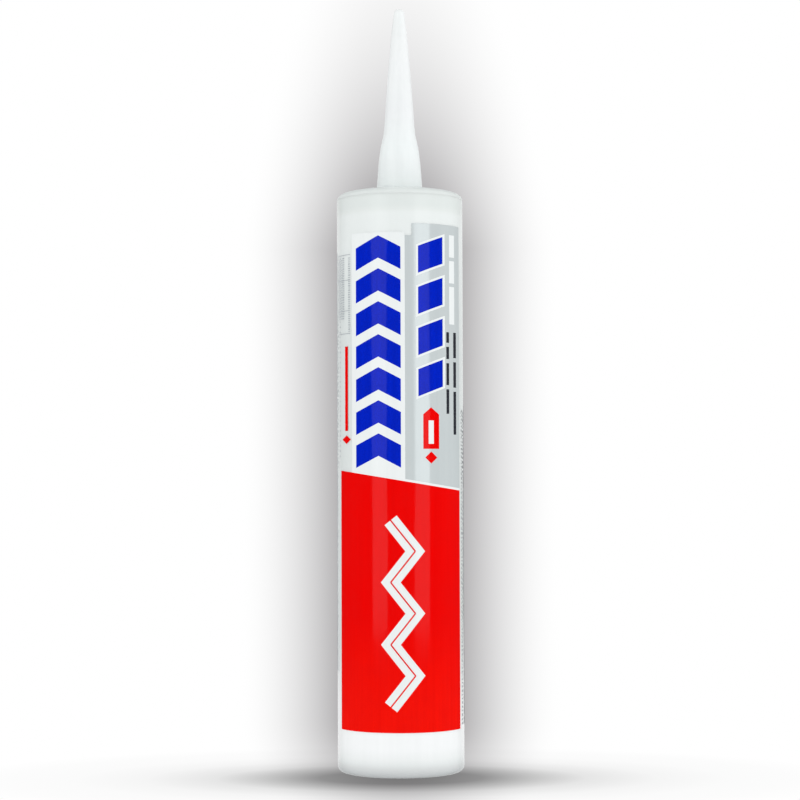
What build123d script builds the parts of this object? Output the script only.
from build123d import *
import os

# Adhesive cartridge for a caulking gun, in millimetres, standing on its rear rim.
# The origin is the centre of the rear rim, and +Z runs up the barrel to the nozzle's tip.
# The pieces, from the back to the front: piston, adhesive, barrel tube with its print,
# moulded head, foil seal and screw-on nozzle.

# Barrel: a thin plastic tube whose rear edge is turned in, so the piston can't fall out
barrel_diameter = 50.0
barrel_wall = 1.6
barrel_length = 226.0
rear_edge_reach = 2.6
rear_edge_corner_share = 0.293
rear_lip_reach = 1.0

# Head: a round plate that closes the tube, with a collar inside it and a neck on top
shoulder_slope_reach = 3.8
shoulder_slope_drop = 1.2
shoulder_edge_reach = 2.1
shoulder_edge_drop = 2.1
collar_length = 6.4
collar_wall = 1.5
neck_diameter = 14.0
neck_wall = 2.2
neck_height = 12.1
neck_lead = 0.6

# Foil seal: a thin disc that is heat-sealed over the neck's mouth
foil_thickness = 0.12
foil_margin = 0.3

# Nozzle: a hollow cone on a skirt that screws over the neck, with a closed tip to cut
thread_clearance = 0.2
seat_clearance = 0.3
skirt_base_wall = 2.0
skirt_top_wall = 1.1
step_height = 14.0
step_upper_share = 0.43
step_upper_diameter = 15.0
step_lower_share = 0.77
step_lower_diameter = 12.8
cone_base_diameter = 12.1
cone_length = 18.5
cone_middle_diameter = 9.6
spout_length = 18.5
nose_length = 10.6
nose_base_diameter = 6.4
tip_diameter = 4.0
tip_edge = 0.9
tip_solid_length = 5.5
passage_wall = 1.25

# Piston: a cup with a raised front, two sealing lips and ribs behind
piston_recess = 29.0
piston_clearance = 0.05
piston_skirt_length = 20.0
piston_front_share = 0.78
piston_nest_clearance = 0.5
piston_crown_clearance = 0.3
piston_lip_height = 2.4
piston_relief = 0.9
piston_wall = 1.5
piston_boss_diameter = 9.0
piston_rib_count = 6
piston_rib_thickness = 1.2

# Adhesive: what fills the barrel between the piston and the foil
adhesive_clearance = 0.05
adhesive_piston_gap = 0.2

# Print: ink layers on the barrel, whose artwork is drawn flat, as it is seen from the front
ink_thickness = 0.1
ink_clearance = 0.05
print_foot = 17.6
print_top_margin = 11.7
keyline = 0.9
fine_bar_width = 1.1
white_bar_width = 2.0

# Places in the artwork: across ones are shares of its half width, counted from the middle,
# and up ones are shares of its height, counted from its foot
print_half_width_share = 0.928
red_top_left_share = 0.513
red_top_right_share = 0.473
panel_left_share = -0.81
panel_right_share = 0.082
panel_top_share = 0.983
notch_right_share = 0.198
notch_foot_share = 0.976
chevron_margin_share = 0.07
chevron_foot_share = 0.518
chevron_stack_share = 0.456
slant_bar_left_share = 0.302
slant_bar_right_share = 0.716
slant_bar_foot_share = 0.658
slant_bar_stack_share = 0.325
tag_left_share = 0.384
tag_right_share = 0.651
tag_foot_share = 0.555
tag_top_share = 0.637
tag_shoulder_share = 0.623
tag_bar_foot_share = 0.565
tag_bar_top_share = 0.611
diamond_foot_share = 0.526
diamond_top_share = 0.55
white_bar_place_share = 0.875
white_bar_foot_share = 0.803
white_bar_top_share = 0.981
near_bar_place_share = 0.802
near_bar_foot_share = 0.625
near_bar_top_share = 0.787
far_bar_place_share = 0.922
far_bar_foot_share = 0.584
far_bar_top_share = 0.787
red_bar_place_share = -0.905
red_bar_foot_share = 0.592
red_bar_top_share = 0.76
pip_foot_share = 0.566
pip_top_share = 0.583
zigzag_left_share = -0.165
zigzag_right_share = 0.243
zigzag_foot_share = 0.05
zigzag_stack_share = 0.365

# Motifs that repeat: how many there are, and their form as shares of their pitch
chevron_count = 7
chevron_thickness_share = 0.68
chevron_rise_share = 0.36
slant_bar_count = 4
slant_bar_thickness_share = 0.66
slant_bar_rise_share = 0.25
zigzag_run_count = 6
zigzag_stroke_share = 0.5
diamond_corners = 4
# Where each piece of a broken bar starts and ends, as shares of the bar's length
long_break_shares = ((0.0, 0.42), (0.46, 0.71), (0.75, 1.0))
short_break_shares = ((0.0, 0.3), (0.35, 0.62), (0.67, 0.82), (0.87, 1.0))

# Sizes that follow from the ones above
barrel_radius = barrel_diameter / 2
bore_radius = barrel_radius - barrel_wall
rear_rim_radius = barrel_radius - rear_edge_reach
rear_mouth_radius = rear_rim_radius - rear_lip_reach
rear_edge_cut = rear_edge_corner_share * rear_edge_reach
shoulder_edge = barrel_length + shoulder_edge_drop
shoulder_top = shoulder_edge + shoulder_slope_drop
neck_radius = neck_diameter / 2
neck_bore_radius = neck_radius - neck_wall
neck_top = shoulder_top + neck_height
collar_bottom = barrel_length - collar_length
collar_inner_radius = bore_radius - collar_wall
skirt_bore_radius = neck_radius + thread_clearance
skirt_base_radius = skirt_bore_radius + skirt_base_wall
skirt_top_radius = skirt_bore_radius + skirt_top_wall
cone_base_radius = cone_base_diameter / 2
nose_base_radius = nose_base_diameter / 2
tip_radius = tip_diameter / 2
cone_base = neck_top + step_height
cone_middle = cone_base + cone_length
nose_base = cone_middle + spout_length
nozzle_tip = nose_base + nose_length
step_upper = neck_top + step_height * step_upper_share
step_lower = neck_top + step_height * step_lower_share
piston_radius = bore_radius - piston_clearance
piston_shoulder = piston_recess + piston_skirt_length
piston_front_radius = collar_inner_radius - piston_nest_clearance
piston_crown_radius = piston_front_radius * piston_front_share
piston_front = piston_shoulder + collar_length - piston_crown_clearance
print_top = barrel_length - print_top_margin
print_height = print_top - print_foot
print_half_width = barrel_radius * print_half_width_share


def piston_front_line(lift):
    """Outline of the piston's front from its rim to the axis, raised by lift."""
    return [
        (piston_front_radius, piston_shoulder + lift),
        (piston_crown_radius, piston_front + lift),
        (0, piston_front + lift),
    ]


# Barrel tube, whose rear edge is turned in
with BuildPart() as barrel_tube:
    with BuildSketch(Plane.XZ):
        with BuildLine():
            Polyline(
                (rear_mouth_radius, 0),
                (rear_rim_radius, 0),
                (barrel_radius - rear_edge_cut, rear_edge_cut),
                (barrel_radius, rear_edge_reach),
                (barrel_radius, barrel_length),
                (bore_radius, barrel_length),
                (bore_radius, rear_edge_reach),
                (bore_radius - rear_edge_cut, barrel_wall),
                (rear_mouth_radius, barrel_wall),
                close=True,
            )
        make_face()
    revolve(axis=Axis.Z)
barrel_tube.part.label = "barrel_tube"

# Head: plate, collar and neck are one moulding
with BuildPart() as head:
    with BuildSketch(Plane.XZ):
        with BuildLine():
            Polyline(
                (barrel_radius, barrel_length),
                (barrel_radius - shoulder_edge_reach, shoulder_edge),
                (barrel_radius - shoulder_edge_reach - shoulder_slope_reach, shoulder_top),
                (neck_radius, shoulder_top),
                (neck_radius, neck_top - neck_lead),
                (neck_radius - neck_lead, neck_top),
                (neck_bore_radius, neck_top),
                (neck_bore_radius, barrel_length),
                (collar_inner_radius, barrel_length),
                (collar_inner_radius, collar_bottom),
                (bore_radius, collar_bottom),
                (bore_radius, barrel_length),
                close=True,
            )
        make_face()
    revolve(axis=Axis.Z)
head.part.label = "head"

# Foil seal over the neck's mouth
with BuildPart() as foil_seal:
    with BuildSketch(Plane.XY.offset(neck_top)):
        Circle(neck_radius - neck_lead - foil_margin)
    extrude(amount=foil_thickness)
foil_seal.part.label = "foil_seal"

# Nozzle: skirt, bottle-shaped step, long cone and blunt nose, hollow up to the closed tip
with BuildPart() as nozzle:
    seat = neck_top + foil_thickness + seat_clearance
    with BuildSketch(Plane.XZ):
        with BuildLine():
            Polyline(
                (skirt_base_radius, shoulder_top),
                (skirt_top_radius, neck_top),
                (step_upper_diameter / 2, step_upper),
                (step_lower_diameter / 2, step_lower),
                (cone_base_radius, cone_base),
                (cone_middle_diameter / 2, cone_middle),
                (nose_base_radius, nose_base),
                (tip_radius, nozzle_tip - tip_edge),
                (tip_radius - tip_edge, nozzle_tip),
                (0, nozzle_tip),
                (0, nozzle_tip - tip_solid_length),
                (nose_base_radius - passage_wall, nose_base),
                (cone_base_radius - passage_wall, cone_base),
                (cone_base_radius - passage_wall, seat),
                (skirt_bore_radius, seat),
                (skirt_bore_radius, shoulder_top),
                close=True,
            )
        make_face()
    revolve(axis=Axis.Z)
nozzle.part.label = "nozzle"

# Piston: a cup with sealing lips at both ends of its skirt, and a boss and ribs in its crown
with BuildPart() as piston:
    waist = piston_radius - piston_relief
    cup_radius = waist - piston_wall
    ceiling = piston_shoulder - piston_wall
    crown_hollow_radius = piston_crown_radius - piston_wall / 2
    rear_lip_end = piston_recess + piston_lip_height
    front_lip_start = piston_shoulder - piston_lip_height
    with BuildSketch(Plane.XZ):
        with BuildLine():
            Polyline(
                piston_front_line(0),
                (0, piston_front - piston_wall),
                (crown_hollow_radius, piston_front - piston_wall),
                (crown_hollow_radius, ceiling),
                (cup_radius, ceiling),
                (cup_radius, piston_recess),
                (piston_radius, piston_recess),
                (piston_radius, rear_lip_end),
                (waist, rear_lip_end + piston_relief),
                (waist, front_lip_start - piston_relief),
                (piston_radius, front_lip_start),
                (piston_radius, piston_shoulder),
                close=True,
            )
        make_face()
    revolve(axis=Axis.Z)
    with BuildSketch(Plane.XY.offset(ceiling)):
        Circle(piston_boss_diameter / 2)
        with PolarLocations(0, piston_rib_count):
            Rectangle(
                piston_crown_radius,
                piston_rib_thickness,
                align=(Align.MIN, Align.CENTER),
            )
    extrude(amount=piston_front - piston_wall / 2 - ceiling)
piston.part.label = "piston"

# Adhesive: it takes the shape of the barrel, the head, the neck and the piston's front
with BuildPart() as adhesive:
    fill_radius = bore_radius - adhesive_clearance
    head_fill_radius = collar_inner_radius - adhesive_clearance
    neck_fill_radius = neck_bore_radius - adhesive_clearance
    with BuildSketch(Plane.XZ):
        with BuildLine():
            Polyline(
                piston_front_line(adhesive_piston_gap),
                (0, neck_top),
                (neck_fill_radius, neck_top),
                (neck_fill_radius, barrel_length - adhesive_clearance),
                (head_fill_radius, barrel_length - adhesive_clearance),
                (head_fill_radius, collar_bottom - adhesive_clearance),
                (fill_radius, collar_bottom - adhesive_clearance),
                (fill_radius, piston_shoulder + adhesive_piston_gap),
                close=True,
            )
        make_face()
    revolve(axis=Axis.Z)
adhesive.part.label = "adhesive"


def across(share):
    """Place across the front, as a share of the print's half width."""
    return share * print_half_width


def up(share):
    """Height on the barrel, as a share of the print's height."""
    return print_foot + share * print_height


def red_field_top(share):
    """Height of the red field's slanted top edge at a place across the front."""
    fall_share = (red_top_left_share - red_top_right_share) / 2
    return up(red_top_left_share - fall_share * (share + 1))


def upright_bar(place_share, foot_share, top_share, width):
    """Draw a bar that runs up the barrel."""
    with Locations((across(place_share), up((foot_share + top_share) / 2))):
        Rectangle(width, print_height * (top_share - foot_share))


def broken_bar(place_share, foot_share, top_share, width, break_shares):
    """Draw an upright bar as a few pieces with gaps between them."""
    length_share = top_share - foot_share
    for start_share, end_share in break_shares:
        piece_foot_share = foot_share + length_share * start_share
        piece_top_share = foot_share + length_share * end_share
        upright_bar(place_share, piece_foot_share, piece_top_share, width)


def diamond(place, foot_share, top_share):
    """Draw a square that stands on its corner."""
    with Locations((place, up((foot_share + top_share) / 2))):
        RegularPolygon(print_height * (top_share - foot_share) / 2, diamond_corners)


# Artwork for each ink. What lies on top is cut out of what lies under it.
with BuildSketch(Plane.XZ) as zigzag_art:
    zigzag_rise = zigzag_stack_share * print_height / zigzag_run_count
    zigzag_sides = (across(zigzag_left_share), across(zigzag_right_share))
    zigzag_corners = [
        (zigzag_sides[corner % 2], up(zigzag_foot_share) + corner * zigzag_rise)
        for corner in range(zigzag_run_count + 1)
    ]
    with BuildLine():
        Polyline(zigzag_corners)
    trace(line_width=zigzag_rise * zigzag_stroke_share)

with BuildSketch(Plane.XZ) as tag_bar_art:
    tag_middle_share = (tag_left_share + tag_right_share) / 2
    upright_bar(tag_middle_share, tag_bar_foot_share, tag_bar_top_share, white_bar_width)

with BuildSketch(Plane.XZ) as tag_art:
    tag_middle = across(tag_middle_share)
    with BuildLine():
        Polyline(
            (across(tag_left_share), up(tag_foot_share)),
            (across(tag_right_share), up(tag_foot_share)),
            (across(tag_right_share), up(tag_shoulder_share)),
            (tag_middle, up(tag_top_share)),
            (across(tag_left_share), up(tag_shoulder_share)),
            close=True,
        )
    make_face()
    diamond(tag_middle, diamond_foot_share, diamond_top_share)

with BuildSketch(Plane.XZ) as blue_art:
    chevron_pitch = chevron_stack_share * print_height / chevron_count
    chevron_rise = chevron_rise_share * chevron_pitch
    chevron_thickness = chevron_thickness_share * chevron_pitch
    chevron_left = across(panel_left_share + chevron_margin_share)
    chevron_right = across(panel_right_share - chevron_margin_share)
    chevron_middle = (chevron_left + chevron_right) / 2
    for step in range(chevron_count):
        low = up(chevron_foot_share) + step * chevron_pitch
        with BuildLine():
            Polyline(
                (chevron_left, low),
                (chevron_middle, low + chevron_rise),
                (chevron_right, low),
                (chevron_right, low + chevron_thickness),
                (chevron_middle, low + chevron_rise + chevron_thickness),
                (chevron_left, low + chevron_thickness),
                close=True,
            )
        make_face()
    slant_bar_pitch = slant_bar_stack_share * print_height / slant_bar_count
    slant_bar_rise = slant_bar_rise_share * slant_bar_pitch
    slant_bar_thickness = slant_bar_thickness_share * slant_bar_pitch
    for step in range(slant_bar_count):
        low = up(slant_bar_foot_share) + step * slant_bar_pitch
        with BuildLine():
            Polyline(
                (across(slant_bar_left_share), low),
                (across(slant_bar_right_share), low + slant_bar_rise),
                (across(slant_bar_right_share), low + slant_bar_rise + slant_bar_thickness),
                (across(slant_bar_left_share), low + slant_bar_thickness),
                close=True,
            )
        make_face()

with BuildSketch(Plane.XZ) as black_art:
    broken_bar(
        near_bar_place_share,
        near_bar_foot_share,
        near_bar_top_share,
        fine_bar_width,
        short_break_shares,
    )
    broken_bar(
        far_bar_place_share,
        far_bar_foot_share,
        far_bar_top_share,
        fine_bar_width,
        long_break_shares,
    )

with BuildSketch(Plane.XZ) as white_bar_art:
    broken_bar(
        white_bar_place_share,
        white_bar_foot_share,
        white_bar_top_share,
        white_bar_width,
        long_break_shares,
    )

with BuildSketch(Plane.XZ) as red_art:
    with BuildLine():
        Polyline(
            (across(-1), print_foot),
            (across(1), print_foot),
            (across(1), red_field_top(1)),
            (across(-1), red_field_top(-1)),
            close=True,
        )
    make_face()
    add(zigzag_art.sketch_local, mode=Mode.SUBTRACT)
    add(tag_art.sketch_local)
    add(tag_bar_art.sketch_local, mode=Mode.SUBTRACT)
    upright_bar(red_bar_place_share, red_bar_foot_share, red_bar_top_share, fine_bar_width)
    diamond(across(red_bar_place_share), pip_foot_share, pip_top_share)

with BuildSketch(Plane.XZ) as silver_art:
    with BuildLine():
        Polyline(
            (across(panel_right_share), red_field_top(panel_right_share) + keyline),
            (across(1), red_field_top(1) + keyline),
            (across(1), print_top),
            (across(notch_right_share), print_top),
            (across(notch_right_share), up(notch_foot_share)),
            (across(panel_right_share), up(notch_foot_share)),
            close=True,
        )
    make_face()
    add(blue_art.sketch_local, mode=Mode.SUBTRACT)
    add(black_art.sketch_local, mode=Mode.SUBTRACT)
    add(white_bar_art.sketch_local, mode=Mode.SUBTRACT)
    add(tag_art.sketch_local, mode=Mode.SUBTRACT)

with BuildSketch(Plane.XZ) as white_art:
    with BuildLine():
        Polyline(
            (across(panel_left_share), red_field_top(panel_left_share)),
            (across(1), red_field_top(1)),
            (across(1), red_field_top(1) + keyline),
            (across(panel_right_share), red_field_top(panel_right_share) + keyline),
            (across(panel_right_share), up(panel_top_share)),
            (across(panel_left_share), up(panel_top_share)),
            close=True,
        )
    make_face()
    add(blue_art.sketch_local, mode=Mode.SUBTRACT)
    add(white_bar_art.sketch_local)
    add(tag_bar_art.sketch_local)
    add(zigzag_art.sketch_local)

# Skin of ink round the barrel, from which the artwork takes each layer
with BuildPart() as ink_skin:
    with BuildSketch():
        Circle(barrel_radius + ink_clearance + ink_thickness)
        Circle(barrel_radius + ink_clearance, mode=Mode.SUBTRACT)
    extrude(amount=barrel_length)

with BuildPart() as print_red:
    extrude(red_art.sketch, amount=barrel_diameter)
    add(ink_skin.part, mode=Mode.INTERSECT)
print_red.part.label = "print_red"

with BuildPart() as print_silver:
    extrude(silver_art.sketch, amount=barrel_diameter)
    add(ink_skin.part, mode=Mode.INTERSECT)
print_silver.part.label = "print_silver"

with BuildPart() as print_white:
    extrude(white_art.sketch, amount=barrel_diameter)
    add(ink_skin.part, mode=Mode.INTERSECT)
print_white.part.label = "print_white"

with BuildPart() as print_blue:
    extrude(blue_art.sketch, amount=barrel_diameter)
    add(ink_skin.part, mode=Mode.INTERSECT)
print_blue.part.label = "print_blue"

with BuildPart() as print_black:
    extrude(black_art.sketch, amount=barrel_diameter)
    add(ink_skin.part, mode=Mode.INTERSECT)
print_black.part.label = "print_black"

os.makedirs("parts", exist_ok=True)
export_step(barrel_tube.part, "parts/barrel_tube.step")
export_step(head.part, "parts/head.step")
export_step(foil_seal.part, "parts/foil_seal.step")
export_step(nozzle.part, "parts/nozzle.step")
export_step(piston.part, "parts/piston.step")
export_step(adhesive.part, "parts/adhesive.step")
export_step(print_red.part, "parts/print_red.step")
export_step(print_silver.part, "parts/print_silver.step")
export_step(print_white.part, "parts/print_white.step")
export_step(print_blue.part, "parts/print_blue.step")
export_step(print_black.part, "parts/print_black.step")
